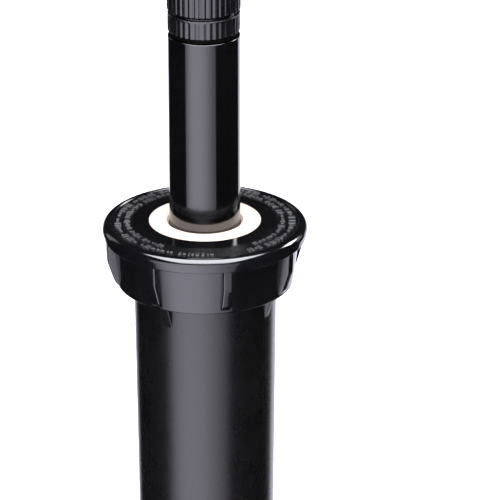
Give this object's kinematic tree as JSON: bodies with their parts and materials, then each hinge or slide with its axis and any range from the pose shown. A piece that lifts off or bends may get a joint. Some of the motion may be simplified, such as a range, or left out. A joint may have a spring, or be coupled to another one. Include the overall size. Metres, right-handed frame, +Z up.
{
  "type": "pop-up sprinkler",
  "caption": "Pop-up spray sprinkler head: case with threaded inlet, screw cap with wiper seal, spring-return riser and arc-setting nozzle.",
  "frame": {"origin": "centre of the inlet's lower face, on the case's axis", "axes": "+Z up along the case's axis towards the nozzle; the front is -Y"},
  "size_m": [0.057, 0.057, 0.1996],
  "materials": {
    "satin_black": "satin moulded",
    "gloss_black": "polished",
    "nozzle_black": "matt moulded",
    "white_seal": "matt",
    "black_rubber": "matt",
    "grey_plastic": "moulded",
    "stainless": "bright"
  },
  "bodies": {
    "case": {"body_case": "satin_black", "screw_cap": "satin_black", "wiper_seal": "white_seal", "spring_seat_ring": "grey_plastic", "retraction_spring": "stainless"},
    "carriage": {"ratchet_ring": "grey_plastic"},
    "riser": {"riser_stem": "gloss_black", "check_valve_seal": "black_rubber", "check_valve_holder": "grey_plastic", "nozzle_gasket": "black_rubber", "nozzle_base": "nozzle_black", "filter_basket": "grey_plastic", "filter_gauze": "stainless", "nozzle_hub": "nozzle_black", "collar_friction_ring": "black_rubber", "nozzle_deflector": "nozzle_black"},
    "collar": {"arc_collar": "nozzle_black"},
    "screw": {"radius_screw": "stainless", "screw_stop_clip": "stainless"},
    "throttle": {"throttle_nut": "grey_plastic"}
  },
  "joints": [
    {"name": "riser_lift", "type": "slide", "parent": "case", "child": "carriage", "axis": [0, 0, 1], "range_m": [-0.076, 0], "deforming": ["retraction_spring"]},
    {"name": "riser_turn", "type": "hinge", "parent": "carriage", "child": "riser", "pos_m": [0, 0, 0.0988], "axis": [0, 0, 1], "continuous": true},
    {"name": "arc_turn", "type": "hinge", "parent": "riser", "child": "collar", "pos_m": [0, 0, 0.1885], "axis": [0, 0, 1], "range_deg": [-165, 165]},
    {"name": "radius_turn", "type": "hinge", "parent": "riser", "child": "screw", "pos_m": [0, 0, 0.19], "axis": [0, 0, 1], "range_deg": [-720, 720]},
    {"name": "throttle_travel", "type": "slide", "parent": "riser", "child": "throttle", "axis": [0, 0, 1], "range_m": [-0.0014, 0.0014]}
  ],
  "couplings": [
    {"joint": "radius_turn", "follows": "throttle_travel", "rad_per_m": -8976}
  ]
}
